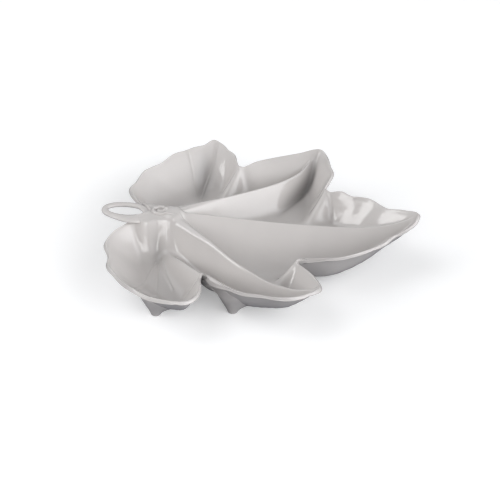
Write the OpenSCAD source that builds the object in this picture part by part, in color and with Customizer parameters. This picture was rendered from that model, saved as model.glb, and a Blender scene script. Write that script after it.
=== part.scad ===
// Divided leaf dish: a five-lobed blade with raised veins, a looped stem and small feet
// Lengths are in millimetres, +X runs along the midrib to the tip and +Z is up
// The blade is worked out about the joint where the stem meets the veins

/* [Blade] */
// Length from the stem joint to the tip of the main lobe
blade_len = 253; // [220:1:290]
// Height of an even stretch of the rim above the table
rim_h = 45; // [42:1:52]
// Height of the level floors above the table, before the valleys are softly filled
floor_h = 5; // [4.8:0.2:9]
// Thickness of the fired wall
wall_t = 4.5; // [3.5:0.1:5.5]

/* [Walls] */
// Distance that a wall takes from the rim down to the floor at a sinus
sinus_wall_w = 18; // [14:1:24]
// How far the inner face rolls over softly at the rim
lip_roll = 4; // [2:0.5:6]
// How far the rounded edge of the rim stands out
lip_out = 1; // [0.5:0.1:2]
// Height over which slopes turn softly into one another down at the floors
floor_blend = 12; // [8:0.5:16]
// The same height up at the crests, where they stay crisp
crest_blend = 2; // [1:0.25:4]

/* [Veins] */
// Distance from the midrib's crest down to the floor
midrib_w = 52; // [42:1:64]
// Distance from a dividing ridge's crest down to the floor
ridge_w = 26; // [21:1:32]
// Roundness of the crests
crest_round = 2; // [1:0.25:4]
// Distance from a sinus fold's crest down to the floor
fold_w = 22; // [16:1:28]
// Roundness of the crests of the folds
fold_round = 4; // [2:0.5:6]

/* [Stem handle] */
// Length of the finger loop over its outside
loop_len = 50; // [46:1:54]
// Width of the finger loop over its outside
loop_w = 30; // [27:1:34]
// Width of the flattened roll that makes the loop
band_w = 7.2; // [6:0.2:8.4]
// Thickness of the flattened roll
band_t = 4.6; // [4:0.2:6]

/* [Stem curl] */
// Length of the coil over its outside
curl_len = 17; // [16:0.5:20]
// Diameter of the rolled clay in the coil
curl_d = 3.2; // [2.8:0.1:3.4]

/* [Feet] */
// Diameter of a foot where it stands on the table
foot_base_d = 10; // [8:0.5:13]
// Diameter of a foot where it flares into the blade
foot_top_d = 34; // [28:1:38]
// Gap between a foot or the stem and the blade that it is fixed to
seat_gap = 0.3; // [0.2:0.05:0.4]

/* [Hidden] */

clay = "#d8d5d3";
shade = "#cfcbc9";

// Rim of each lobe, anticlockwise: angle in degrees about the stem joint,
// reach as a share of blade_len and height as a share of rim_h
basal_front_shares = [
    [-166, 0.12, 0.97], [-153, 0.205, 0.96], [-143, 0.275, 0.96], [-134, 0.33, 0.98],
    [-123, 0.365, 0.94], [-116, 0.425, 0.98], [-107, 0.465, 0.95], [-96, 0.53, 1],
    [-87, 0.575, 1.02], [-78, 0.597, 1.02], [-73, 0.59, 1], [-69, 0.55, 0.96],
    [-66.5, 0.49, 0.92], [-64.5, 0.42, 0.87], [-61.5, 0.40, 0.84]];
lateral_front_shares = [
    [-58.5, 0.45, 0.88], [-56.5, 0.54, 0.96], [-53, 0.61, 1], [-48, 0.67, 1.02],
    [-43, 0.735, 1.02], [-37, 0.762, 0.99], [-31.5, 0.765, 0.95], [-27.5, 0.70, 0.92],
    [-24.5, 0.63, 0.88], [-21.4, 0.58, 0.85]];
main_shares = [
    [-18.8, 0.635, 0.90], [-17, 0.705, 0.95], [-13.5, 0.77, 0.96], [-9, 0.832, 0.98],
    [-5.6, 0.878, 1], [-2.4, 0.905, 1.02], [-0.3, 0.955, 1.09], [2, 0.99, 1.20],
    [4.4, 0.995, 1.26], [6.8, 0.945, 1.17], [9.3, 0.886, 1.07], [12.1, 0.85, 1.04],
    [15.6, 0.812, 1.02], [18.4, 0.757, 0.98], [22, 0.725, 0.94], [26, 0.667, 0.88]];
lateral_back_shares = [
    [28.6, 0.692, 0.96], [31.6, 0.727, 1.04], [35.5, 0.738, 1.08], [41, 0.762, 1.13],
    [44.5, 0.755, 1.16], [48, 0.685, 1.07], [51.7, 0.625, 1.02], [57, 0.548, 0.96],
    [60, 0.503, 0.91], [63, 0.473, 0.87]];
basal_back_shares = [
    [66, 0.487, 0.93], [69.5, 0.52, 0.99], [74, 0.537, 1.01], [78, 0.565, 1.04],
    [82, 0.573, 1.06], [86, 0.535, 1.03], [93, 0.494, 1], [100, 0.455, 0.99],
    [108, 0.40, 0.97], [120, 0.36, 0.95], [130, 0.308, 0.94], [141, 0.277, 0.93],
    [151.6, 0.198, 0.93], [165, 0.12, 0.95], [180, 0.095, 1]];

// How wide the sloping wall is at the middle of each lobe, as a share of blade_len
lobe_wall_shares = [0.26, 0.21, 0.20, 0.20, 0.24];

// Crests of the great veins from the stem joint outward: place as shares of blade_len along
// X and Y, height as a share of rim_h and half width of the flat top as a share of blade_len
midrib_shares = [
    [0, -0.004, 1.06, 0.010], [0.12, 0.004, 1, 0], [0.24, 0.012, 0.94, 0],
    [0.40, 0.022, 0.87, 0], [0.56, 0.034, 0.82, 0], [0.72, 0.046, 0.80, 0],
    [0.82, 0.055, 0.84, 0], [0.90, 0.062, 0.96, 0], [0.96, 0.070, 1.12, 0]];
back_ridge_shares = [
    [0, 0.006, 1.05, 0.020], [0.10, 0.085, 1, 0.010], [0.20, 0.17, 0.90, 0],
    [0.30, 0.248, 0.85, 0], [0.40, 0.34, 0.79, 0], [0.475, 0.43, 0.80, 0],
    [0.51, 0.49, 0.95, 0]];
front_ridge_shares = [
    [0, -0.016, 1.05, 0.020], [0.08, -0.080, 0.99, 0.012], [0.18, -0.168, 0.97, 0.004],
    [0.28, -0.253, 0.88, 0], [0.36, -0.306, 0.82, 0], [0.44, -0.348, 0.75, 0],
    [0.54, -0.382, 0.76, 0], [0.60, -0.395, 0.85, 0]];
stem_root_shares = [
    [0, -0.014, 1.06, 0.036], [-0.06, -0.016, 1.05, 0.044], [-0.10, -0.018, 1.04, 0.056]];

// Rim rows, counted from the first, where the front ridge, the midrib and the back ridge end
vein_row_counts = [21, 33, 45];

// Folds that run inward from the four sinuses, in the same shares
fold_shares = [
    [[0.60, 0.29, 0.90], [0.575, 0.235, 0.68], [0.55, 0.19, 0.46]],
    [[0.215, 0.425, 0.88], [0.19, 0.35, 0.66], [0.165, 0.29, 0.46]],
    [[0.54, -0.212, 0.87], [0.51, -0.235, 0.66], [0.475, -0.25, 0.42]],
    [[0.195, -0.365, 0.86], [0.12, -0.27, 0.68], [0.05, -0.18, 0.52]]];

// Middle of each foot as shares of blade_len along X and Y
foot_basal_front_shares = [0.011, -0.43];
foot_basal_back_shares = [0.02, 0.42];
foot_lateral_front_shares = [0.305, -0.375];
foot_lateral_back_shares = [0.40, 0.42];
foot_main_shares = [0.68, 0];

// Middle of the finger loop: along X and Y as shares of blade_len, height as a share of rim_h
loop_middle_shares = [-0.190, -0.012, 1.04];

// Width of the loop's clay round it, from the blade's side by way of the back: angle in degrees
// and share of band_w, where it spreads into a strap on the near side
loop_width_shares = [
    [0, 1.25], [45, 1.1], [90, 1], [230, 1.03], [255, 1.25], [280, 1.7], [305, 1.95],
    [335, 1.6], [360, 1.25]];

// Clearance along X between the coil and the loop's inner end (mm)
curl_gap = 0.137;
// Place of the coil's middle along Y as a share of blade_len
curl_side_share = -0.002;

// Path of the coil's roll from its tail inward about that middle, in shares of curl_len
curl_path_shares = [
    [1.10, -0.45], [0.75, -0.41], [0.40, -0.39], [0.05, -0.375], [-0.26, -0.26], [-0.39, 0],
    [-0.29, 0.25], [0, 0.375], [0.27, 0.29], [0.385, 0.08], [0.28, -0.10], [0.08, -0.14],
    [-0.05, -0.04], [0, 0.10]];
curl_reach_share = -min([for (row = curl_path_shares) row[0]]);
curl_end_share = 0.5;

// Mesh counts and the shape of the slopes
full_turn = 360;
steps_per_point = 2;
vein_side_share = 1 / 6;
rings = 20;
rim_crowd = 1.15;
hub_share = 0.087;
wall_power = 1.75;
midrib_power = 1.4;
ridge_power = 1.7;
crest_sink = wall_t;
steepest = 2;
path_steps = 3;
foot_sides = 20;
flare_steps = 4;
flare_power = 1.8;
seat_steps = 4;
sweep_sides = 12;
loop_steps = 36;
curl_steps = 2;

// Point on a Catmull-Rom curve between b and c
function curve_at(a, b, c, d, f) =
    (2 * b + (c - a) * f + (2 * a - 5 * b + 4 * c - d) * f * f
     + (3 * b - a - 3 * c + d) * f * f * f) / 2;

// Smooth maximum of two heights, crisp at the height of the rim and soft down at the floors
function soft_max(a, b) =
    let (high = max(a, b), up = max(0, min(1, (high - floor_h) / (rim_h - floor_h))),
         k = floor_blend + (crest_blend - floor_blend) * up, h = max(k - abs(a - b), 0))
    high + h * h / (4 * k);

// Fall of a slope from its crest: steep at first and level after the distance w
function fall(d, w, depth, power, round_r) =
    let (e = sqrt(d * d + round_r * round_r) - round_r)
    depth * (1 - pow(1 - min(e / w, 1), power));

// Rim control rows with the wall width of each as a fourth value
lobes = [basal_front_shares, lateral_front_shares, main_shares, lateral_back_shares,
         basal_back_shares];
sinus_wall_share = sinus_wall_w / blade_len;
rim_rows = [
    for (k = [0 : len(lobes) - 1])
        for (i = [0 : len(lobes[k]) - 1])
            let (swell = sin(180 * (i + 1) / len(lobes[k])))
            [each lobes[k][i],
             sinus_wall_share + (lobe_wall_shares[k] - sinus_wall_share) * swell]];
rim_count = len(rim_rows);
function rim_row(i) =
    let (turn = floor(i / rim_count))
    rim_rows[i - turn * rim_count] + [full_turn * turn, 0, 0, 0];
function rim_curve(u) =
    let (i = floor(u))
    curve_at(rim_row(i - 1), rim_row(i), rim_row(i + 1), rim_row(i + 2), u - i);

// Rim points as x, y, height and wall width
function rim_point(u) =
    let (p = rim_curve(u), reach = p[1] * blade_len)
    [reach * cos(p[0]), reach * sin(p[0]), p[2] * rim_h, p[3] * blade_len];
rim = [for (k = [0 : rim_count * steps_per_point - 1]) rim_point(k / steps_per_point)];
function rim_at(k) = rim[(k + len(rim)) % len(rim)];

// The rim is cut at its sinuses and lobe tips into runs, whose walls meet in soft valleys
run_end_counts = [-1, 18, 29, 40, 49, 65, 81, 90, 101, 110, 120, 129];

// Open crest lines as finer points
function crest_line(shares) =
    let (n = len(shares), scale = [blade_len, blade_len, rim_h, blade_len],
         p = [for (s = shares) [for (k = [0 : len(s) - 1]) s[k] * scale[k]]],
         q = concat([2 * p[0] - p[1]], p, [2 * p[n - 1] - p[n - 2]]))
    [for (i = [0 : n - 2])
        for (k = [0 : path_steps - 1])
            curve_at(q[i], q[i + 1], q[i + 2], q[i + 3], k / path_steps),
     p[n - 1]];

// A great vein ends on the rim
function vein_line(shares, row) =
    let (p = rim_row(row))
    crest_line(concat(shares, [[p[1] * cos(p[0]), p[1] * sin(p[0]), p[2], 0]]));
midrib = vein_line(midrib_shares, vein_row_counts[1]);
back_ridge = vein_line(back_ridge_shares, vein_row_counts[2]);
front_ridge = vein_line(front_ridge_shares, vein_row_counts[0]);
stem_root = crest_line(stem_root_shares);
folds = [for (f = fold_shares) crest_line(f)];

// Plan distance from x, y to the segment from a to b, and the height there
function segment_near(x, y, a, b) =
    let (dx = b[0] - a[0], dy = b[1] - a[1],
         t = max(0, min(1, ((x - a[0]) * dx + (y - a[1]) * dy) / (dx * dx + dy * dy))))
    [norm([x - a[0] - t * dx, y - a[1] - t * dy]), t];

// Height of a crest's slopes over x, y
function slope_height(x, y, line, w, power, round_r = crest_round) =
    max([for (i = [0 : len(line) - 2])
        let (a = line[i], b = line[i + 1], n = segment_near(x, y, a, b), p = a + n[1] * (b - a),
             d = (len(p) > 3) ? max(n[0] - p[3], 0) : n[0])
        p[2] - fall(d, w, p[2] - floor_h + crest_sink, power, round_r)]);

// Height of the walls of one run of the rim over x, y
function wall_height(x, y, first, last) =
    max([for (i = [first : last - 1])
        let (a = rim_at(i), b = rim_at(i + 1), n = segment_near(x, y, a, b), s = a + n[1] * (b - a))
        s[2] - fall(n[0], s[3], s[2] - floor_h + crest_sink, wall_power, lip_roll)]);
function walls(x, y, k = 0, z = floor_h) =
    (k == len(run_end_counts) - 1) ? z
        : walls(x, y, k + 1, soft_max(z, wall_height(x, y, run_end_counts[k], run_end_counts[k + 1])));

// Top face of the blade over x, y
function blade_top(x, y) =
    let (m = soft_max(walls(x, y), slope_height(x, y, midrib, midrib_w, midrib_power)),
         r0 = soft_max(m, slope_height(x, y, back_ridge, ridge_w, ridge_power)),
         r1 = soft_max(r0, slope_height(x, y, front_ridge, ridge_w, ridge_power)),
         r2 = soft_max(r1, slope_height(x, y, stem_root, ridge_w, ridge_power)),
         f0 = soft_max(r2, slope_height(x, y, folds[0], fold_w, ridge_power, fold_round)),
         f1 = soft_max(f0, slope_height(x, y, folds[1], fold_w, ridge_power, fold_round)),
         f2 = soft_max(f1, slope_height(x, y, folds[2], fold_w, ridge_power, fold_round)))
    soft_max(f2, slope_height(x, y, folds[3], fold_w, ridge_power, fold_round));

// Height of the wall measured straight down, where the top face has the normal n
function drop_for(n) = wall_t / max(abs(n[2]) / norm(n), 1 / steepest);

// Underside of the blade over x, y, for the seats of the feet
function blade_under(x, y) =
    let (h = wall_t / 4, z = blade_top(x, y),
         n = [blade_top(x + h, y) - z, blade_top(x, y + h) - z, h])
    z - drop_for(n);

// Rays of the blade's net, counted in rim rows, with one more on each side of a great vein
ray_places = [
    for (k = [0 : rim_count * steps_per_point - 1])
        let (u = k / steps_per_point)
        each (len(search(u, vein_row_counts)) > 0 ? [u - vein_side_share, u, u + vein_side_share] : [u])];
rays = len(ray_places);
ray_rim = [for (u = ray_places) rim_curve(u)];

// How far a vein has turned from its end on the rim, at shares of its reach
function vein_turns(line, row) =
    let (far = norm([line[len(line) - 1][0], line[len(line) - 1][1]]))
    [for (p = line)
        let (reach = norm([p[0], p[1]]), turn = atan2(p[1], p[0]) - rim_row(row)[0])
        if (reach > hub_share * blade_len) [reach / far, turn]];
turns = [vein_turns(front_ridge, vein_row_counts[0]), vein_turns(midrib, vein_row_counts[1]),
         vein_turns(back_ridge, vein_row_counts[2])];

// One ring of the net: places over the rays that bend to follow the great veins
function net_ring(share) =
    let (bends = concat([[-1, 0]], [for (k = [0 : 2]) [vein_row_counts[k], lookup(share, turns[k])]],
                        [[rim_count - 1, 0]]))
    [for (i = [0 : rays - 1])
        let (t = ray_rim[i][0] + lookup(ray_places[i], bends),
             reach = share * ray_rim[i][1] * blade_len)
        [reach * cos(t), reach * sin(t)]];
rim_ring = net_ring(1);
function rim_out(i) =
    let (t = rim_ring[(i + 1) % rays] - rim_ring[(i + rays - 1) % rays])
    [t[1], -t[0]] / norm(t);

// The whole part stands with the middle of its box over the origin
loop_mid = [loop_middle_shares[0] * blade_len, loop_middle_shares[1] * blade_len,
            loop_middle_shares[2] * rim_h];
rim_edge = [for (i = [0 : rays - 1]) rim_ring[i] + lip_out * rim_out(i)];
box_x = [loop_mid[0] - loop_len / 2, max([for (p = rim_edge) p[0]])];
box_y = [min([for (p = rim_edge) p[1]]), max([for (p = rim_edge) p[1]])];
module placed() {
    translate([-(box_x[0] + box_x[1]) / 2, -(box_y[0] + box_y[1]) / 2, 0]) children();
}

// Closed skin of the blade: top face, rounded rim and underside on one net
module blade_skin() {
    shares = [for (j = [1 : rings]) 1 - pow(1 - j / rings, rim_crowd)];
    hub = [0, 0, blade_top(0, 0)];
    top = [for (s = shares) [for (p = net_ring(s)) [p[0], p[1], blade_top(p[0], p[1])]]];
    under = [for (j = [0 : rings - 1]) [for (i = [0 : rays - 1])
        let (out = top[min(j + 1, rings - 1)][i], inner = (j == 0) ? hub : top[j - 1][i],
             across = top[j][(i + 1) % rays] - top[j][(i + rays - 1) % rays])
        top[j][i] - [0, 0, drop_for(cross(out - inner, across))]]];
    edge = [for (i = [0 : rays - 1])
        [each rim_edge[i], (top[rings - 1][i][2] + under[rings - 1][i][2]) / 2]];
    sheets = concat(top, [edge], [for (j = [rings - 1 : -1 : 0]) under[j]]);
    points = concat([hub], [for (s = sheets) each s], [hub - [0, 0, wall_t]]);
    rows = len(sheets);
    last = 1 + rows * rays;
    faces = concat(
        [for (i = [0 : rays - 1]) [0, 1 + (i + 1) % rays, 1 + i]],
        [for (j = [0 : rows - 2]) for (i = [0 : rays - 1])
            let (a = 1 + j * rays + i, b = 1 + j * rays + (i + 1) % rays)
            each [[a, b, b + rays], [a, b + rays, a + rays]]],
        [for (i = [0 : rays - 1])
            [last, last - rays + i, last - rays + (i + 1) % rays]]);
    polyhedron(points, faces);
}

// Closed skin of shaped clay: sections are lists of points round the clay, and the last one
// meets the first or both ends are capped
module clay_skin(sections, closed) {
    m = len(sections);
    n = len(sections[0]);
    bands = [for (j = [0 : closed ? m - 1 : m - 2]) for (i = [0 : n - 1])
        let (a = j * n + i, b = j * n + (i + 1) % n, c = ((j + 1) % m) * n + (i + 1) % n,
             d = ((j + 1) % m) * n + i)
        each [[a, b, c], [a, c, d]]];
    caps = closed ? [] : [for (i = [1 : n - 2])
        each [[0, i + 1, i], [(m - 1) * n, (m - 1) * n + i, (m - 1) * n + i + 1]]];
    polyhedron([for (s = sections) each s], concat(bands, caps));
}

// One section of rolled clay: its middle, level direction across, half width and half height
function clay_section(mid, across, half_w, half_h) =
    [for (i = [0 : sweep_sides - 1])
        let (q = full_turn * i / sweep_sides,
             p = mid + half_w * cos(q) * across + half_h * sin(q) * [0, 0, 1])
        [p[0], p[1], max(p[2], blade_top(p[0], p[1]) + seat_gap)]];

// Level direction square to an oval with half axes a and b, at the angle t
function oval_out(a, b, t) = [b * cos(t), a * sin(t), 0] / norm([b * cos(t), a * sin(t)]);

module leaf_dish() {
    color(clay) placed() blade_skin();
}

module stem_handle() {
    a = loop_len / 2 - band_w;
    b = loop_w / 2 - band_w;
    sections = [for (k = [0 : loop_steps - 1])
        let (t = full_turn * k / loop_steps, half = lookup(t, loop_width_shares) * band_w / 2,
             out = oval_out(a, b, t))
        clay_section(loop_mid + [a * cos(t), b * sin(t), 0] + half * out, out, half, band_t / 2)];
    color(clay) placed() clay_skin(sections, true);
}

module stem_curl() {
    loop_end = loop_mid[0] + loop_len / 2 + (lookup(0, loop_width_shares) - 1) * band_w;
    mid = [loop_end + curl_gap + curl_d / 2 + curl_reach_share * curl_len, curl_side_share * blade_len];
    path = [for (s = curl_path_shares) mid + s * curl_len];
    n = len(path);
    q = concat([2 * path[0] - path[1]], path, [2 * path[n - 1] - path[n - 2]]);
    line = [for (i = [0 : n - 2]) for (k = [0 : curl_steps - 1])
                curve_at(q[i], q[i + 1], q[i + 2], q[i + 3], k / curl_steps),
            path[n - 1]];
    last = len(line) - 1;
    sections = [for (i = [0 : last])
        let (p = line[i], t = line[min(i + 1, last)] - line[max(i - 1, 0)],
             out = [t[1], -t[0], 0] / norm(t),
             size = curl_d / 2 * ((i == 0 || i == last) ? curl_end_share : 1))
        clay_section([p[0], p[1], blade_top(p[0], p[1]) + curl_d / 4], out, size, size)];
    color(shade) placed() clay_skin(sections, false);
}

// Flared foot that stands on the table and meets the blade's underside all over its top
module foot(shares) {
    mid = [shares[0], shares[1]] * blade_len;
    turns = [for (k = [foot_sides : -1 : 1]) full_turn * k / foot_sides];
    base = foot_base_d / 2;
    flare = [for (k = [0 : flare_steps])
        let (t = k / flare_steps, r = base + (foot_top_d / 2 - base) * pow(t, flare_power))
        [for (q = turns)
            let (p = mid + r * [cos(q), sin(q)])
            [p[0], p[1], t * (blade_under(p[0], p[1]) - seat_gap)]]];
    seat = [for (k = [seat_steps - 1 : -1 : 1])
        [for (q = turns)
            let (p = mid + foot_top_d / 2 * k / seat_steps * [cos(q), sin(q)])
            [p[0], p[1], blade_under(p[0], p[1]) - seat_gap]]];
    color(shade) placed() clay_skin(concat(flare, seat), false);
}
module foot_basal_front() { foot(foot_basal_front_shares); }
module foot_basal_back() { foot(foot_basal_back_shares); }
module foot_lateral_front() { foot(foot_lateral_front_shares); }
module foot_lateral_back() { foot(foot_lateral_back_shares); }
module foot_main() { foot(foot_main_shares); }

leaf_dish();
stem_handle();
stem_curl();
foot_basal_front();
foot_basal_back();
foot_lateral_front();
foot_lateral_back();
foot_main();
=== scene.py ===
import math

import bpy
import numpy as np
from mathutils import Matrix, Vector


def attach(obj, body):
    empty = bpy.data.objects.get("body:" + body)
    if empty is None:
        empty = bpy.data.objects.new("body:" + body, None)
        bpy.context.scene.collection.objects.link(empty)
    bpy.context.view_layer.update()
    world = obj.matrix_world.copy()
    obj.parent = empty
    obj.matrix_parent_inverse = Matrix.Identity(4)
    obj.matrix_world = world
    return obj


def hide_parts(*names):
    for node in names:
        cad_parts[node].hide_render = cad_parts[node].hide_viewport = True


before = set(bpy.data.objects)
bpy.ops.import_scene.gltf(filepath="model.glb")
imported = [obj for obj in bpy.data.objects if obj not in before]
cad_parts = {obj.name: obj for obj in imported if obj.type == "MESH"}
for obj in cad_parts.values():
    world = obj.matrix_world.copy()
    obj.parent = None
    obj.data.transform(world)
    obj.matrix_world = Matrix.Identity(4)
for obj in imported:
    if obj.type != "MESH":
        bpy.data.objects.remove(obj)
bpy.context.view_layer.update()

mm = 0.001

# Camera: it stands before the front lobes, a little towards the tip, and looks down
# at the dish from 35 degrees through a long lens, as the photograph does.
view_distance = 1.6
view_rise = math.radians(35)
view_turn = math.radians(8)
view_end = 20
pixels_per_metre = 970
picture_size = 500
aim_pixel = (260, 225)
sensor_width = 36
aim = Vector((-0.9, 15.4, 30)) * mm

towards_camera = Vector((math.sin(view_turn) * math.cos(view_rise),
                         -math.cos(view_turn) * math.cos(view_rise),
                         math.sin(view_rise)))
camera_data = bpy.data.cameras.new("photo_camera")
camera_data.sensor_width = sensor_width
camera_data.lens = sensor_width * pixels_per_metre * view_distance / picture_size
camera_data.shift_x = (picture_size / 2 - aim_pixel[0]) / picture_size
camera_data.shift_y = (aim_pixel[1] - picture_size / 2) / picture_size
camera_data.clip_end = view_end
camera = bpy.data.objects.new("photo_camera", camera_data)
bpy.context.collection.objects.link(camera)
camera.location = aim + view_distance * towards_camera
camera.rotation_euler = (-towards_camera).to_track_quat("-Z", "Y").to_euler()
bpy.context.scene.camera = camera
bpy.context.scene.view_settings.view_transform = "Standard"

# Floor and backdrop: a seamless sweep of white paper. The camera sees it all but pure
# white, with the soft shadow of the dish on it, and the dish itself gets a duller bounce.
paper_colour = "#F2F2F2"
paper_bounce = "#8E8F95"
paper_glow = 0.24
pure_white = "#FFFFFF"
sweep_size = 8.0


def linear(hex_colour):
    channels = [int(hex_colour[i:i + 2], 16) / 255 for i in (1, 3, 5)]
    return [c / 12.92 if c <= 0.04045 else ((c + 0.055) / 1.055) ** 2.4 for c in channels] + [1]


def add_node(tree, kind, settings=None, links=None):
    node = tree.nodes.new(kind)
    for name, value in (settings or {}).items():
        if isinstance(name, str) and hasattr(node, name):
            setattr(node, name, value)
        else:
            node.inputs[name].default_value = value
    for socket, source in (links or {}).items():
        tree.links.new(source, node.inputs[socket])
    return node


def new_material(name):
    material = bpy.data.materials.new(name)
    material.use_nodes = True
    material.node_tree.nodes.clear()
    return material, material.node_tree


def sweep_paper():
    material, tree = new_material("white_sweep_paper")
    path = add_node(tree, "ShaderNodeLightPath")
    plain = add_node(tree, "ShaderNodeBsdfDiffuse", {"Color": linear(paper_colour)})
    bounce = add_node(tree, "ShaderNodeBsdfDiffuse", {"Color": linear(paper_bounce)})
    glow = add_node(tree, "ShaderNodeEmission",
                    {"Color": linear(pure_white), "Strength": paper_glow})
    lifted = add_node(tree, "ShaderNodeAddShader", None, {0: plain.outputs[0], 1: glow.outputs[0]})
    mixed = add_node(tree, "ShaderNodeMixShader", None,
                     {0: path.outputs["Is Camera Ray"], 1: bounce.outputs[0],
                      2: lifted.outputs[0]})
    add_node(tree, "ShaderNodeOutputMaterial", None, {"Surface": mixed.outputs[0]})
    return material


bpy.ops.object.select_all(action="DESELECT")
bpy.ops.mesh.primitive_plane_add(size=sweep_size, location=(0, 0, 0))
floor = bpy.context.object
floor.name = "floor"
floor.data.materials.append(sweep_paper())

# Studio light: wide soft panels round the dish, with the brightest low on its right, and two
# softboxes low on the left and in front, which the glaze mirrors as windows. They are kept
# at a level where the glaze renders about as its colour is written.
panel_colour = "#F4F5F7"
panel_focus = 14
# Each panel's azimuth and elevation in degrees, and its level
panels = ((0, 8, 3.5), (324, 8, 3.1), (340, 30, 2.7), (20, 30, 0.75), (60, 30, 0.4),
          (100, 30, 0.7), (140, 30, 1.15), (180, 30, 1.4), (180, 55, 2.05), (216, 8, 0.3),
          (300, 30, 1.3))
# Each softbox's place in metres, its width and height, and its watts
softboxes = {"left_softbox": ((-1.28, -0.54, 0.51), 0.55, 0.5, 5),
             "front_softbox": ((-0.09, -1.34, 0.63), 0.35, 0.8, 4.2)}


def studio_room():
    world = bpy.data.worlds.new("studio_room")
    world.use_nodes = True
    tree = world.node_tree
    tree.nodes.clear()
    path = add_node(tree, "ShaderNodeLightPath")
    direction = add_node(tree, "ShaderNodeTexCoord")
    total = None
    for azimuth, elevation, level in panels:
        turn, rise = math.radians(azimuth), math.radians(elevation)
        towards = (math.cos(rise) * math.cos(turn), math.cos(rise) * math.sin(turn),
                   math.sin(rise))
        facing = add_node(tree, "ShaderNodeVectorMath", {"operation": "DOT_PRODUCT", 1: towards},
                          {0: direction.outputs["Generated"]})
        front = add_node(tree, "ShaderNodeMath", {"operation": "MAXIMUM", 1: 0},
                         {0: facing.outputs["Value"]})
        spread = add_node(tree, "ShaderNodeMath", {"operation": "POWER", 1: panel_focus},
                          {0: front.outputs[0]})
        share = add_node(tree, "ShaderNodeMath", {"operation": "MULTIPLY_ADD", 1: level, 2: 0},
                         {0: spread.outputs[0]})
        if total:
            tree.links.new(total.outputs[0], share.inputs[2])
        total = share
    light = add_node(tree, "ShaderNodeBackground", {"Color": linear(panel_colour)},
                     {"Strength": total.outputs[0]})
    backdrop = add_node(tree, "ShaderNodeBackground",
                        {"Color": linear(pure_white), "Strength": 1.0})
    mixed = add_node(tree, "ShaderNodeMixShader", None,
                     {0: path.outputs["Is Camera Ray"], 1: light.outputs[0],
                      2: backdrop.outputs[0]})
    add_node(tree, "ShaderNodeOutputWorld", None, {"Surface": mixed.outputs[0]})
    return world


def softbox(name, place, width, height, watts):
    lamp = bpy.data.lights.new(name, "AREA")
    lamp.shape = "RECTANGLE"
    lamp.size = width
    lamp.size_y = height
    lamp.energy = watts
    box = bpy.data.objects.new(name, lamp)
    bpy.context.collection.objects.link(box)
    box.location = place
    box.rotation_euler = (-Vector(place)).to_track_quat("-Z", "Y").to_euler()


bpy.context.scene.world = studio_room()
for name, values in softboxes.items():
    softbox(name, *values)

# Blade: the leaf itself, a pressed clay slab that is bisque fired and glazed. The wall is
# even, the rim is rolled soft, and three great veins stand up between the compartments.
blade_len = 253 * mm
rim_h = 45 * mm
floor_h = 5 * mm
wall_t = 4.5 * mm
full_turn = 360
stem_joint = Vector((-89.985, 2.106, 0)) * mm
# Slopes of the walls, veins and folds: their widths, the rounding of their crests, and
# powers that make them steep at the crest and level at the foot
sinus_wall_w = 18 * mm
lip_roll = 4 * mm
wall_power = 1.75
midrib_w = 52 * mm
midrib_power = 1.4
ridge_w = 26 * mm
ridge_power = 1.7
crest_round = 2 * mm
fold_w = 22 * mm
fold_round = 4 * mm
# How widely those slopes are blended where they meet
crest_blend = 2 * mm
root_blend = 10 * mm
fold_blend = 6 * mm
floor_blend = 12 * mm
# Beads on the great veins, which fade in over their start at the stem joint and out over
# the last share of the way to the rim, and the fine side veins
bead_h = 1.0 * mm
bead_w = 2.0 * mm
bead_start = 20 * mm
bead_end_share = 0.12
fine_h = 0.7 * mm
fine_w = 1.1 * mm
# The rim's bead and its rolled edge, the degrees from the stem at which the bead starts and
# over which it grows, and the ruffles, whose length is counted in rim rows
lip_out = 0.5 * mm
lip_fall = 2.1 * mm
lip_w = 2.4 * mm
lip_rise = 0.7 * mm
lip_start = 12.5
lip_fade = 25
ruffle_h = 0.5 * mm
ruffle_w = 10 * mm
ruffle_rows = 1.7
ruffle_drift = 1.3
# The wall's thickness at its edge, the share of the way to the rim where it starts to thin,
# and the most by which it is drawn down where the face is steep
edge_t = 2.2 * mm
thin_from_share = 0.80
thin_power = 1.5
steepest = 2

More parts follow.
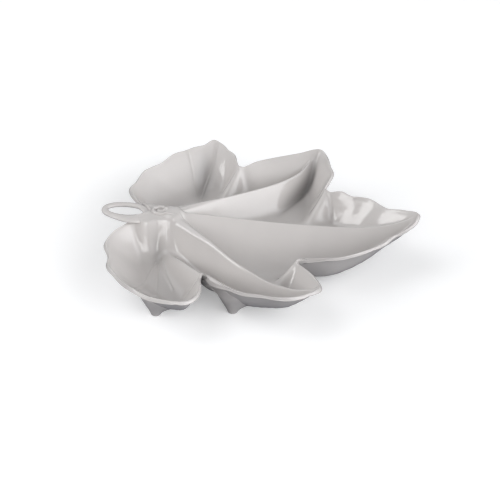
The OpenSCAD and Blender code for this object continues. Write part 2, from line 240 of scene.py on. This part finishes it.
# Each lobe's rim from notch to notch, as an angle in degrees and shares of blade_len and
# rim_h, then the wall's width at each lobe's middle and how far that leans to one side
rim_lobes = [
    [(-166, 0.12, 0.97), (-153, 0.205, 0.96), (-143, 0.275, 0.96), (-134, 0.33, 0.98),
     (-123, 0.365, 0.94), (-116, 0.425, 0.98), (-107, 0.465, 0.95), (-96, 0.53, 1),
     (-87, 0.575, 1.02), (-78, 0.597, 1.02), (-73, 0.59, 1), (-69, 0.55, 0.96),
     (-66.5, 0.49, 0.92), (-64.5, 0.42, 0.87), (-61.5, 0.40, 0.84)],
    [(-58.5, 0.45, 0.88), (-56.5, 0.54, 0.96), (-53, 0.61, 1), (-48, 0.67, 1.02),
     (-43, 0.735, 1.02), (-37, 0.762, 0.99), (-31.5, 0.765, 0.95), (-27.5, 0.70, 0.92),
     (-24.5, 0.63, 0.88), (-21.4, 0.58, 0.85)],
    [(-18.8, 0.635, 0.90), (-17, 0.705, 0.95), (-13.5, 0.77, 0.96), (-9, 0.832, 0.98),
     (-5.6, 0.878, 1), (-2.4, 0.905, 1.02), (-0.3, 0.955, 1.09), (2, 0.99, 1.20),
     (4.4, 0.995, 1.26), (6.8, 0.945, 1.17), (9.3, 0.886, 1.07), (12.1, 0.85, 1.04),
     (15.6, 0.812, 1.02), (18.4, 0.757, 0.98), (22, 0.725, 0.94), (26, 0.667, 0.88)],
    [(28.6, 0.692, 0.96), (31.6, 0.727, 1.04), (35.5, 0.738, 1.08), (41, 0.762, 1.13),
     (44.5, 0.755, 1.16), (48, 0.685, 1.07), (51.7, 0.625, 1.02), (57, 0.548, 0.96),
     (60, 0.503, 0.91), (63, 0.473, 0.87)],
    [(66, 0.487, 0.93), (69.5, 0.52, 0.99), (74, 0.537, 1.01), (78, 0.565, 1.04),
     (82, 0.573, 1.06), (86, 0.535, 1.03), (93, 0.494, 1), (100, 0.455, 0.99),
     (108, 0.40, 0.97), (120, 0.36, 0.95), (130, 0.308, 0.94), (141, 0.277, 0.93),
     (151.6, 0.198, 0.93), (165, 0.12, 0.95), (180, 0.095, 1)]]
lobe_wall_shares = (0.26, 0.21, 0.20, 0.20, 0.24)
lobe_lean_shares = (0, 0, 0, 0, 0.15)

# Each great vein: the rim row that it ends on, and its crest up to there as place,
# height and half width of its flat top
vein_rows = {"front_ridge": 21, "midrib": 33, "back_ridge": 45, "stem_root": 65}
vein_shares = {
    "front_ridge": [(0, -0.016, 1.05, 0.020), (0.08, -0.080, 0.99, 0.012),
                    (0.18, -0.168, 0.97, 0.004), (0.28, -0.253, 0.88, 0),
                    (0.36, -0.306, 0.82, 0), (0.44, -0.348, 0.75, 0),
                    (0.54, -0.382, 0.76, 0), (0.60, -0.395, 0.85, 0)],
    "midrib": [(0, -0.004, 1.06, 0.010), (0.12, 0.004, 1.00, 0), (0.24, 0.012, 0.94, 0),
               (0.40, 0.022, 0.87, 0), (0.56, 0.034, 0.82, 0), (0.72, 0.046, 0.80, 0),
               (0.82, 0.055, 0.84, 0), (0.90, 0.062, 0.96, 0), (0.96, 0.070, 1.12, 0)],
    "back_ridge": [(0, 0.006, 1.05, 0.020), (0.10, 0.085, 1, 0.010), (0.20, 0.17, 0.90, 0),
                   (0.30, 0.248, 0.85, 0), (0.40, 0.34, 0.79, 0), (0.475, 0.43, 0.80, 0),
                   (0.51, 0.49, 0.95, 0)],
    "stem_root": [(0, -0.014, 1.06, 0.036), (-0.06, -0.016, 1.05, 0.044),
                  (-0.10, -0.018, 1.04, 0.056)]}
great_veins = ("front_ridge", "midrib", "back_ridge")
# The folds that run in from the notches between the lobes, as place and height
fold_shares = [
    [(0.60, 0.29, 0.90), (0.575, 0.235, 0.68), (0.55, 0.19, 0.46)],
    [(0.215, 0.425, 0.88), (0.19, 0.35, 0.66), (0.165, 0.29, 0.46)],
    [(0.54, -0.212, 0.87), (0.51, -0.235, 0.66), (0.475, -0.25, 0.42)],
    [(0.195, -0.365, 0.86), (0.122, -0.283, 0.71), (0.052, -0.193, 0.53), (0, -0.13, 0.36)]]

# Soft valleys where a wall meets a vein's slope, as place and depth, and their half widths.
# Painted shade darkens the glaze along them, this much wider, and fully at this depth.
valley_shares = [
    [(0.528, 0.495, 0.04), (0.521, 0.459, 0.09), (0.507, 0.424, 0.12), (0.481, 0.375, 0.12),
     (0.454, 0.333, 0.09), (0.423, 0.283, 0.05), (0.386, 0.223, 0)],
    [(0.055, 0.50, 0.02), (0.057, 0.455, 0.075), (0.056, 0.409, 0.085), (0.054, 0.362, 0.07),
     (0.052, 0.320, 0.02)],
    [(-0.067, -0.065, 0), (-0.049, -0.107, 0.04), (-0.032, -0.142, 0.05), (-0.028, -0.19, 0)]]
valley_widths = (3.5 * mm, 8 * mm, 6 * mm)
shade_spread = 1.2
shade_depth = 6 * mm
# Fine side veins of the two lobes beside the stem
fine_shares = [
    [(-0.042, -0.161), (-0.052, -0.247), (-0.058, -0.40), (-0.050, -0.52)],
    [(-0.028, -0.172), (-0.014, -0.272), (0.010, -0.42), (0.028, -0.56)],
    [(-0.018, -0.156), (0.015, -0.24), (0.06, -0.328)],
    [(0.095, 0.54), (0.087, 0.50), (0.078, 0.448), (0.066, 0.392), (0.06, 0.314)],
    [(-0.02, 0.48), (-0.004, 0.448), (0.014, 0.408), (0.036, 0.339)]]

narrow = sinus_wall_w / blade_len
rim_rows = []
for lobe, wall, lean in zip(rim_lobes, lobe_wall_shares, lobe_lean_shares):
    for i, row in enumerate(lobe):
        place = math.pi * (i + 1) / len(lobe)
        swell = math.sin(place) * (1 + lean * math.cos(place))
        rim_rows.append(row + (narrow + (wall - narrow) * swell,))
rim_rows = np.array(rim_rows)
row_count = len(rim_rows)
line_steps = 6


def catmull_rom(a, b, c, d, f):
    """The point at share f of the way from b to c, on a smooth line through all four."""
    return (2 * b + (c - a) * f + (2 * a - 5 * b + 4 * c - d) * f ** 2
            + (3 * b - a - 3 * c + d) * f ** 3) / 2


def rim_at(u):
    """Rim angle, reach, height and wall width, at a place u counted in rim rows."""
    i = np.floor(u).astype(int)

    def row(k):
        turn = np.floor_divide(k, row_count)
        found = rim_rows[k - turn * row_count].copy()
        found[:, 0] += full_turn * turn
        return found
    return catmull_rom(row(i - 1), row(i), row(i + 1), row(i + 2), (u - i)[:, None])


def smooth_line(rows, steps):
    """Finer points of an open line, with so many steps to each of its rows."""
    rows = np.array(rows, float)
    full = np.vstack([2 * rows[0] - rows[1], rows, 2 * rows[-1] - rows[-2]])
    points = [catmull_rom(*full[i:i + 4], k / steps)
              for i in range(len(rows) - 1) for k in range(steps)]
    return np.array(points + [rows[-1]])


def crest_line(rows):
    """Finer points of a line given in shares, in metres from the stem joint."""
    scale = (blade_len, blade_len, rim_h, blade_len)[:len(rows[0])]
    return smooth_line(rows, line_steps) * scale


def vein_line(name):
    """A great vein's crest, which runs out into its place on the rim."""
    angle, reach, height, _ = rim_rows[vein_rows[name]]
    turn = math.radians(angle)
    end = (reach * math.cos(turn), reach * math.sin(turn), height, vein_shares[name][-1][3])
    return crest_line(vein_shares[name] + [end])


def soft_max(a, b, least=crest_blend):
    """Smooth maximum: crisp up at the crests and widely rounded down at the floors."""
    high = np.maximum(a, b)
    up = np.clip((high - floor_h) / (rim_h - floor_h), 0, 1)
    blend = floor_blend + (least - floor_blend) * up
    h = np.maximum(blend - np.abs(a - b), 0)
    return high + h * h / (4 * blend)


def fall(distance, width, depth, power, roundness):
    """Fall of a slope from its crest: steep at first and level after its width."""
    e = np.sqrt(distance ** 2 + roundness ** 2) - roundness
    return depth * (1 - (1 - np.minimum(e / width, 1)) ** power)


def near(x, y, a, b):
    """Plan distance from each point to the segment from a to b, and where along it."""
    dx, dy = b[0] - a[0], b[1] - a[1]
    t = np.clip(((x - a[0]) * dx + (y - a[1]) * dy) / (dx * dx + dy * dy), 0, 1)
    return np.hypot(x - a[0] - t * dx, y - a[1] - t * dy), t


def line_distance(x, y, line):
    return np.min([near(x, y, a, b)[0] for a, b in zip(line[:-1], line[1:])], axis=0)


def slope_height(x, y, line, width, power, roundness):
    """Height of the slopes on both sides of a crest."""
    best = np.full(x.shape, -1.0)
    for a, b in zip(line[:-1], line[1:]):
        d, t = near(x, y, a, b)
        crest = a[2] + t * (b[2] - a[2])
        if len(a) > 3:
            d = np.maximum(d - a[3] - t * (b[3] - a[3]), 0)
        best = np.maximum(best, crest - fall(d, width, crest - floor_h + wall_t, power, roundness))
    return best


def groove(x, y, line, width):
    """Depth of a rounded groove along a line."""
    depth = np.zeros(x.shape)
    for a, b in zip(line[:-1], line[1:]):
        d, t = near(x, y, a, b)
        depth = np.maximum(depth, (a[2] + t * (b[2] - a[2])) * np.exp(-(d / width) ** 2))
    return depth


def wall_height(x, y, rim):
    """Height of the walls that fall inward from a run of the rim."""
    best = np.full(x.shape, -1.0)
    for a, b in zip(rim[:-1], rim[1:]):
        d, t = near(x, y, a, b)
        s = a + t[..., None] * (b - a)
        depth = s[..., 2] - floor_h + wall_t
        best = np.maximum(best, s[..., 2] - fall(d, s[..., 3], depth, wall_power, lip_roll))
    return best


def rim_points(u):
    """Plan places, heights and wall widths along the rim, in metres."""
    row = rim_at(u)
    angle = np.radians(row[:, 0])
    reach = row[:, 1] * blade_len
    return np.stack([reach * np.cos(angle), reach * np.sin(angle), row[:, 2] * rim_h,
                     row[:, 3] * blade_len], 1)


# The rim is cut at its notches and lobe tips, counted in rim rows, into runs whose walls
# meet in soft valleys
wall_steps = 4
run_ends = (-0.5, 9, 14.5, 20, 24.5, 32.5, 40.5, 45, 50.5, 55, 60, row_count - 0.5)
wall_smooth = 6


def wall_run(first, last):
    """A run of the rim whose plan is smoothed, so that its ruffles stay off the wall."""
    points = rim_points(np.linspace(first, last, round((last - first) * wall_steps) + 1))
    for k in range(wall_smooth):
        points[1:-1, :2] = (points[:-2, :2] + points[2:, :2] + 2 * points[1:-1, :2]) / 4
    return points


wall_runs = [wall_run(a, b) for a, b in zip(run_ends[:-1], run_ends[1:])]
veins = {name: vein_line(name) for name in vein_rows}
folds = [crest_line(rows) for rows in fold_shares]
valleys = [crest_line(rows) for rows in valley_shares]
fine_veins = [crest_line(rows) for rows in fine_shares]


def blade_top(x, y):
    """Height of the blade's top face without its beads and fine veins."""
    z = np.full(x.shape, floor_h)
    for run in wall_runs:
        z = soft_max(z, wall_height(x, y, run))
    slopes = [("midrib", midrib_w, midrib_power, crest_blend),
              ("back_ridge", ridge_w, ridge_power, crest_blend),
              ("front_ridge", ridge_w, ridge_power, crest_blend),
              ("stem_root", ridge_w, ridge_power, root_blend)]
    for name, width, power, blend in slopes:
        z = soft_max(z, slope_height(x, y, veins[name], width, power, crest_round), blend)
    for line in folds:
        z = soft_max(z, slope_height(x, y, line, fold_w, ridge_power, fold_round), fold_blend)
    for line, width in zip(valleys, valley_widths):
        z -= groove(x, y, line, width)
    return z


# The net's rays run from the stem joint to the rim and bend to follow the great veins.
# They lie closer beside the veins, and in the rim rows where fine veins end, so that each
# crest is drawn sharply. Within the hub's reach the veins' bend is left out.
ray_steps = 6
crest_steps = 16
top_rings = 130
under_rings = 32
ring_crowd = 1.25
lip_rows = 6
hub_reach = 22 * mm
under_smooth = 4
fine_rows = ((6, 10), (53, 57))
u = set(np.arange(row_count * ray_steps) / ray_steps)
for name in great_veins:
    u |= set(vein_rows[name] + np.arange(-crest_steps // 2, crest_steps // 2 + 1) / crest_steps)
for first, last in fine_rows:
    u |= set(np.arange(first * crest_steps, last * crest_steps) / crest_steps)
u = np.array(sorted(u))
rim_edge = rim_points(u)
rim_angle, rim_reach = rim_at(u)[:, :2].T
rim_reach = rim_reach * blade_len


def vein_bend(name, share):
    """How far a vein has turned from its end on the rim, at each share of its reach."""
    line = veins[name]
    reach = np.hypot(line[:, 0], line[:, 1])
    line, reach = line[reach > hub_reach], reach[reach > hub_reach]
    angle = np.degrees(np.arctan2(line[:, 1], line[:, 0]))
    turn = (angle - rim_rows[vein_rows[name], 0] + full_turn / 2) % full_turn - full_turn / 2
    return np.interp(share, reach / reach[-1], turn)


def net(share):
    """Plan places of the net at the shares of the way from the stem joint to the rim."""
    rows = [-1] + [vein_rows[name] for name in great_veins] + [row_count - 1]
    level = np.zeros(len(share))
    turns = np.array([level] + [vein_bend(name, share) for name in great_veins] + [level])
    bend = np.array([np.interp(u, rows, turns[:, k]) for k in range(len(share))])
    angle = np.radians(rim_angle + bend)
    reach = np.outer(share, rim_reach)
    return reach * np.cos(angle), reach * np.sin(angle)


def ring_shares(count):
    """Shares of the way from the stem joint at which rings lie, closer towards the rim."""
    return np.concatenate([[0.0], 1 - (1 - np.arange(1, count + 1) / count) ** ring_crowd])


plan_x, plan_y = net(ring_shares(top_rings))
top = np.stack([plan_x, plan_y, blade_top(plan_x, plan_y)], 2)
# Painted shade: a mask along the valleys' creases, where shade falls, that darkens the glaze there
painted_shade = sum(groove(plan_x, plan_y, line, shade_spread * width) for line, width
           in zip(valleys, valley_widths)) / shade_depth
fade = np.clip(np.hypot(plan_x, plan_y) / bead_start, 0, 1)
fade *= np.clip((1 - ring_shares(top_rings)) / bead_end_share, 0, 1)[:, None]
for name in great_veins:
    d = line_distance(plan_x, plan_y, veins[name])
    top[..., 2] += bead_h * fade * np.exp(-(d / bead_w) ** 2)
for line in fine_veins:
    d = line_distance(plan_x, plan_y, line)
    top[..., 2] += fine_h * np.exp(-(d / fine_w) ** 2)

# The rim has a soft bead that is rolled over at its outer edge, and runs in small ruffles
inside = np.outer(1 - ring_shares(top_rings), rim_reach)
ruffle = ruffle_h * np.sin(2 * math.pi * u / ruffle_rows + ruffle_drift * np.sin(u))
top[..., 2] += ruffle * np.clip(1 - inside / ruffle_w, 0, 1) ** 2
from_stem = full_turn / 2 - np.abs((rim_angle + full_turn / 2) % full_turn - full_turn / 2)
grown = np.clip((from_stem - lip_start) / lip_fade, 0, 1)
top[..., 2] += lip_rise * grown * np.exp(-((inside - lip_w) / (lip_w / 2)) ** 2)
top[..., 2] -= lip_fall * np.clip(1 - inside / lip_w, 0, 1) ** 2

# The wall is measured square to the face, so it drops further where the face is steep
plan_x, plan_y = net(ring_shares(under_rings))
plain = np.stack([plan_x, plan_y, blade_top(plan_x, plan_y)], 2)
normal = np.cross(np.gradient(plain, axis=0), np.roll(plain, -1, 1) - np.roll(plain, 1, 1))
upright = np.ones(normal.shape[:2])
upright[1:] = np.abs(normal[1:, :, 2]) / np.linalg.norm(normal[1:], axis=2)
drop = wall_t / np.maximum(upright, 1 / steepest)
for k in range(under_smooth):
    drop[1:-1] = (drop[:-2] + drop[2:] + 2 * drop[1:-1]) / 4
    drop = (np.roll(drop, 1, 1) + np.roll(drop, -1, 1) + 2 * drop) / 4
thin = np.clip((ring_shares(under_rings) - thin_from_share) / (1 - thin_from_share), 0, 1)
drop += (edge_t - drop) * thin[:, None] ** thin_power
under = plain
under[..., 2] -= drop


def beside(forward):
    """Unit plan directions square to a line and to the right of its way forward."""
    side = np.stack([forward[:, 1], -forward[:, 0]], 1)
    return side / np.linalg.norm(side, axis=1)[:, None]


# The rim is rounded by half a circle from the top face out and round to the underside
side = beside(np.roll(rim_edge, -1, 0) - np.roll(rim_edge, 1, 0))
lip = []
for k in range(1, lip_rows + 1):
    turn = math.pi * k / (lip_rows + 1)
    row = (top[-1] + under[-1]) / 2 + (top[-1] - under[-1]) / 2 * math.cos(turn)
    row[:, :2] += side * lip_out * math.sin(turn)
    lip.append(row)
sheet = np.concatenate([top, np.array(lip), under[::-1]], 0)
sheet += np.array(stem_joint)
# The painted shade lies on the top face only
painted_shade = np.pad(np.clip(painted_shade, 0, 1), ((0, len(sheet) - len(painted_shade)), (0, 0)))
weld_gap = 0.01 * mm


def shaped_grid(name, rows, wrap_rows=False, painted_shade=None):
    """A grid whose columns close into rings, laid on rows of points and made one skin."""
    rows = np.concatenate([rows, rows[:, :1]], 1)
    if wrap_rows:
        rows = np.concatenate([rows, rows[:1]], 0)
    bpy.ops.object.select_all(action="DESELECT")
    bpy.ops.mesh.primitive_grid_add(x_subdivisions=rows.shape[1] - 1,
                                    y_subdivisions=rows.shape[0] - 1, size=1)
    piece = bpy.context.object
    piece.name = name
    piece.data.vertices.foreach_set("co", rows.reshape(-1).astype(np.float32))
    # A mask of painted shade, when given, rides on the points as an attribute
    if painted_shade is not None:
        painted_shade = np.concatenate([painted_shade, painted_shade[:, :1]], 1).astype(np.float32)
        piece.data.attributes.new("painted_valley_shade", "FLOAT", "POINT")
        piece.data.attributes["painted_valley_shade"].data.foreach_set("value", painted_shade.reshape(-1))
    piece.data.update()
    bpy.ops.object.mode_set(mode="EDIT")
    bpy.ops.mesh.select_all(action="SELECT")
    bpy.ops.mesh.remove_doubles(threshold=weld_gap)
    bpy.ops.mesh.normals_make_consistent(inside=False)
    bpy.ops.object.mode_set(mode="OBJECT")
    bpy.ops.object.shade_smooth()
    return piece


leaf = shaped_grid("glazed_leaf", sheet, painted_shade=painted_shade)

# Glaze: an opaque tin glaze over pale clay, fired glossy. It is grey-white with a faint
# mottle, with painted shade in the valleys' creases, and a long low ripple bends its highlights.
glaze_colour = "#CBC7C4"
glaze_mottle = "#C2BEBC"
# Painted shade: the dark colour laid into the valleys' creases
valley_shade_colour = "#7E7B7A"
glaze_ior = 1.52
glaze_roughness = 0.12
ripple_width = 11 * mm
ripple_depth = 0.22 * mm
mottle_width = 35 * mm


def glaze(name):
    material, tree = new_material(name)
    place = add_node(tree, "ShaderNodeTexCoord")
    mottle = add_node(tree, "ShaderNodeTexNoise", {"Scale": 1 / mottle_width, "Detail": 3},
                      {"Vector": place.outputs["Object"]})
    # A colour mix takes its two colours at sockets 6 and 7, and gives the mixed one at 2
    colour = add_node(tree, "ShaderNodeMix",
                      {"data_type": "RGBA", 6: linear(glaze_colour), 7: linear(glaze_mottle)},
                      {0: mottle.outputs["Fac"]})
    # Painted shade: the colour is darkened along the valleys by their mask
    shade_mask = add_node(tree, "ShaderNodeAttribute", {"attribute_name": "painted_valley_shade"})
    shaded_colour = add_node(tree, "ShaderNodeMix", {"data_type": "RGBA", 7: linear(valley_shade_colour)},
                    {0: shade_mask.outputs["Fac"], 6: colour.outputs[2]})
    ripple = add_node(tree, "ShaderNodeTexNoise", {"Scale": 1 / ripple_width, "Detail": 1},
                      {"Vector": place.outputs["Object"]})
    bump = add_node(tree, "ShaderNodeBump", {"Strength": 1.0, "Distance": ripple_depth},
                    {"Height": ripple.outputs["Fac"]})
    shader = add_node(tree, "ShaderNodeBsdfPrincipled",
                      {"Roughness": glaze_roughness, "IOR": glaze_ior},
                      {"Base Color": shaded_colour.outputs[2], "Normal": bump.outputs[0]})
    add_node(tree, "ShaderNodeOutputMaterial", None, {"Surface": shader.outputs[0]})
    return material


body_glaze = glaze("grey_white_glaze")
leaf.data.materials.append(body_glaze)
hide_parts("leaf_dish")
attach(leaf, "root")

# Stem handle: a roll of clay pressed flat and bent into a finger loop. Its far limb stays
# slim, its near limb spreads into a strap, and both are luted to the root of the veins.
loop_middle = np.array((-48.1, -3, 46)) * mm
loop_half_len = 17.8 * mm
loop_half_w = 7.8 * mm
loop_thick = 4.4 * mm
# Its inner end dips into the root by this much, from this place on and over this length
loop_dive = 1.6 * mm
dive_place = -36 * mm
dive_len = 8 * mm
# The roll's width in millimetres at these degrees round the loop, and the steps of the
# neighbours that it is averaged with
loop_turns = (0, 45, 90, 180, 230, 255, 280, 305, 335, 360)
loop_widths = (8.6, 7.2, 6, 7, 7.2, 9, 12.5, 14, 11.5, 8.6)
loop_shifts = (-4, -2, 0, 2, 4)
loop_steps = 120
roll_sides = 24


def ring_turns(count):
    """Angles of points that are spaced evenly round a ring."""
    return 2 * math.pi * np.arange(count) / count


def oval_roll(middle, half_len, half_w, turn, width, thick):
    """Rings of points round a flat roll of clay that lies outside an oval opening."""
    out = beside(np.stack([-half_len * np.sin(turn), half_w * np.cos(turn)], 1))
    centre = np.stack([half_len * np.cos(turn), half_w * np.sin(turn)], 1)
    centre = centre + out * width[:, None] / 2
    round_it = ring_turns(roll_sides)
    across = np.outer(width / 2, np.cos(round_it))
    rows = np.empty((len(turn), roll_sides, 3))
    rows[..., :2] = middle[:2] + centre[:, None] + out[:, None] * across[..., None]
    rows[..., 2] = middle[2] + thick / 2 * np.sin(round_it)
    return rows


turn = ring_turns(loop_steps)
width = np.interp(np.degrees(turn), loop_turns, loop_widths) * mm
width = np.mean([np.roll(width, shift) for shift in loop_shifts], axis=0)
rows = oval_roll(loop_middle, loop_half_len, loop_half_w, turn, width, loop_thick)
rows[..., 2] -= loop_dive * np.clip((rows[..., 0] - dive_place) / dive_len, 0, 1)
handle = shaped_grid("stem_loop", rows + np.array(stem_joint), wrap_rows=True)
handle.data.materials.append(body_glaze)
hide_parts("stem_handle")
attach(handle, "root")

# Curl: a thin roll of clay coiled flat on the root of the stem, where the end of a real
# leaf stalk would curl. It is half sunk in the soft clay, and its tail joins the veins.
curl_path = np.array([(6, -8), (0, -7.2), (-6, -6.8), (-12, -6.6), (-17.2, -4.6), (-19.4, -0.4),
                      (-17.6, 3.8), (-13, 6), (-8.2, 4.6), (-6.2, 1), (-8, -2.2), (-11.4, -2.8),
                      (-13.6, -1), (-12.8, 1.2)]) * mm
curl_thick = 4.0 * mm
curl_steps = 8
# Shares of the roll's length over which its two ends taper, and of its half thickness by
# which its middle stands above the root
tail_share = 0.22
tip_share = 0.06
taper_power = 0.6
curl_lift_share = 0.1
stalk = smooth_line(curl_path, curl_steps)
along = np.linspace(0, 1, len(stalk))
taper = np.clip(np.minimum(along / tail_share, (1 - along) / tip_share), 0, 1) ** taper_power
out = beside(np.gradient(stalk, axis=0))
round_it = ring_turns(roll_sides)
across = np.outer(taper, np.cos(round_it)) * curl_thick / 2
seat = blade_top(stalk[:, 0], stalk[:, 1])
rows = np.empty((len(stalk), roll_sides, 3))
rows[..., :2] = stalk[:, None] + out[:, None] * across[..., None]
rows[..., 2] = seat[:, None] + np.outer(taper, curl_lift_share + np.sin(round_it)) * curl_thick / 2
curl = shaped_grid("stalk_curl", rows + np.array(stem_joint))
curl.data.materials.append(body_glaze)
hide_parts("stem_curl")
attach(curl, "root")

# Feet: five small cones of clay, luted under the compartments and smoothed into them with
# a wet finger. They stand on flat ends whose edges are softened by the sponge.
# Each foot's place from the stem joint, as shares of the blade's length
foot_place_shares = {"foot_basal_front": (0.011, -0.43), "foot_basal_back": (0.02, 0.42),
                     "foot_lateral_front": (0.305, -0.375), "foot_lateral_back": (0.40, 0.42),
                     "foot_main": (0.68, 0)}
# The way in which each foot's heel runs up towards the notch beside it, in degrees
foot_heels = {"foot_basal_front": 30, "foot_basal_back": -30, "foot_lateral_front": 160,
              "foot_lateral_back": 210, "foot_main": 180}
foot_heel = 7 * mm
# The sole's radius and the flare's, how fast it widens, how near it comes to the rim, and
# how deep its top is sunk in the wall
foot_base_r = 5 * mm
foot_top_r = 17 * mm
foot_flare = 1.5
flare_limit_share = 0.88
foot_sink = 1.5 * mm
foot_edge = 0.8 * mm
edge_cut_share = 0.3
foot_sides = 48
foot_rings = 16
lid_rings = 4
lid_share = 0.75
lean_step = 1 * mm


def blade_under(x, y):
    """Height of the blade's underside, at the wall's thickness square to the face."""
    z = blade_top(x, y)
    lean = np.hypot(blade_top(x + lean_step, y) - z, blade_top(x, y + lean_step) - z) / lean_step
    return z - wall_t * np.minimum(np.sqrt(1 + lean ** 2), steepest)


def within_rim(x, y):
    """Plan places drawn in from the rim, to where the wall above them is still thick."""
    angle = np.degrees(np.arctan2(y, x))
    limit = flare_limit_share * np.interp(angle, rim_angle, rim_reach, period=full_turn)
    draw = np.minimum(limit / np.hypot(x, y), 1)
    return x * draw, y * draw


def foot(name):
    """A flared cone whose top follows the blade's underside a little inside the wall."""
    x, y = np.array(foot_place_shares[name]) * blade_len
    turn = ring_turns(foot_sides)
    heel = math.radians(foot_heels[name])
    wide = foot_top_r + foot_heel * np.maximum(np.cos(turn - heel), 0) ** 2

    def under_blade(radius):
        px, py = within_rim(x + radius * np.cos(turn), y + radius * np.sin(turn))
        return np.stack([px, py, blade_under(px, py) + foot_sink], 2)

    cut = edge_cut_share * foot_edge
    sole = [np.stack([x + r * np.cos(turn), y + r * np.sin(turn), np.full(foot_sides, z)], 1)
            for r, z in ((0, 0), (foot_base_r - foot_edge, 0), (foot_base_r - cut, cut))]
    rise = np.linspace(0, 1, foot_rings)[:, None]
    flare = under_blade(foot_base_r + (wide - foot_base_r) * rise ** foot_flare)
    flare[..., 2] = np.maximum(rise * flare[..., 2], foot_edge)
    lid = under_blade(wide * np.linspace(lid_share, 0, lid_rings)[:, None])
    rows = np.concatenate([np.array(sole), flare, lid], 0)
    piece = shaped_grid(name + "_cone", rows + np.array(stem_joint))
    piece.data.materials.append(body_glaze)
    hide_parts(name)
    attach(piece, "root")


for name in foot_place_shares:
    foot(name)
